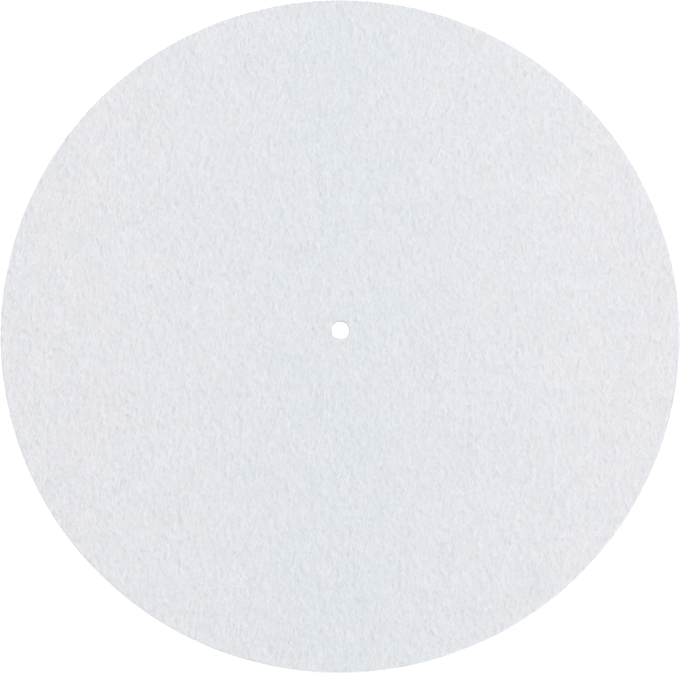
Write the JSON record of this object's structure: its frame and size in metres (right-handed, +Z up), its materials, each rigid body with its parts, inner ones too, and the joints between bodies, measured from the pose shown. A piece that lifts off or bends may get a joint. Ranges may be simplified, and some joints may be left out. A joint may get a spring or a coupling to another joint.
{
  "type": "turntable platter mat",
  "caption": "Thin round white felt mat with a central spindle hole, laid on a record player's platter to carry and cushion the record.",
  "frame": {"origin": "centre of the spindle hole at the underside, which lies on the platter", "axes": "+Z up along the spindle's axis, X and Y across the disc, with the felt's grain along Y"},
  "size_m": [0.3, 0.3, 0.003],
  "materials": {
    "felt": "matt white needled felt with short loose fibres, grain running along Y"
  },
  "bodies": {
    "root": {"felt_mat": "felt"}
  },
  "joints": []
}
